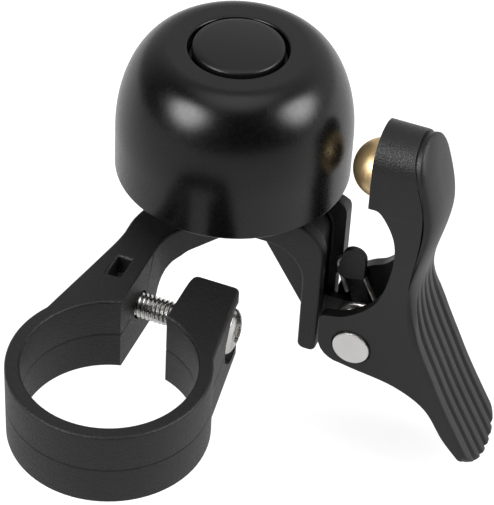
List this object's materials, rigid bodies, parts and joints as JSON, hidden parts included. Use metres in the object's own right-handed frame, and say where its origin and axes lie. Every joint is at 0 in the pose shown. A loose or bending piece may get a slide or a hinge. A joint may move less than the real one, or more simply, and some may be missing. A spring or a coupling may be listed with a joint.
{
  "type": "bicycle bell",
  "caption": "Black bicycle bell: satin metal dome over a split nylon clamp ring, with a sprung thumb lever and a brass striker",
  "frame": {"origin": "Middle of the clamp ring's bore, half way along the handlebar", "axes": "+Z along the handlebar axis towards the bell's top, +Y from the bore towards the bell, +X along the clamp screw towards its head"},
  "size_m": [0.0657, 0.079, 0.0677],
  "materials": {
    "nylon": "fine grained black moulding",
    "steel": "plain zinc-bright steel",
    "dome_coat": "satin black coating on metal",
    "cap_plastic": "satin black",
    "isolator_rubber": "matte black, hidden, assumed",
    "lever_plastic": "smooth matte dark grey",
    "grip_rubber": "fine grained, ribbed on the thumb pad",
    "brass": "satin turned",
    "pin_steel": "brushed, light",
    "spring_steel": "bright drawn wire"
  },
  "bodies": {
    "frame": {"bracket": "nylon", "clamp_nut": "steel", "bell_dome": "dome_coat", "bell_cap": "cap_plastic", "bell_screw": "steel", "upper_isolator": "isolator_rubber", "lower_isolator": "isolator_rubber", "pivot_pin": "pin_steel", "pin_retainer": "pin_steel", "return_spring": "spring_steel"},
    "lever": {"lever_body": "lever_plastic", "thumb_grip": "grip_rubber", "striker": "brass"},
    "screw": {"clamp_screw": "steel"}
  },
  "joints": [
    {"name": "lever_hinge", "type": "hinge", "parent": "frame", "child": "lever", "pos_m": [0.0246, 0.0452, -0.0152], "axis": [0, 1, 0], "range_deg": [-2, 20], "stiffness_Nm_per_rad": 0.06, "deforming": ["return_spring"]},
    {"name": "clamp_screw_turn", "type": "hinge", "parent": "frame", "child": "screw", "pos_m": [0, 0.0199, 0], "axis": [1, 0, 0], "continuous": true}
  ]
}
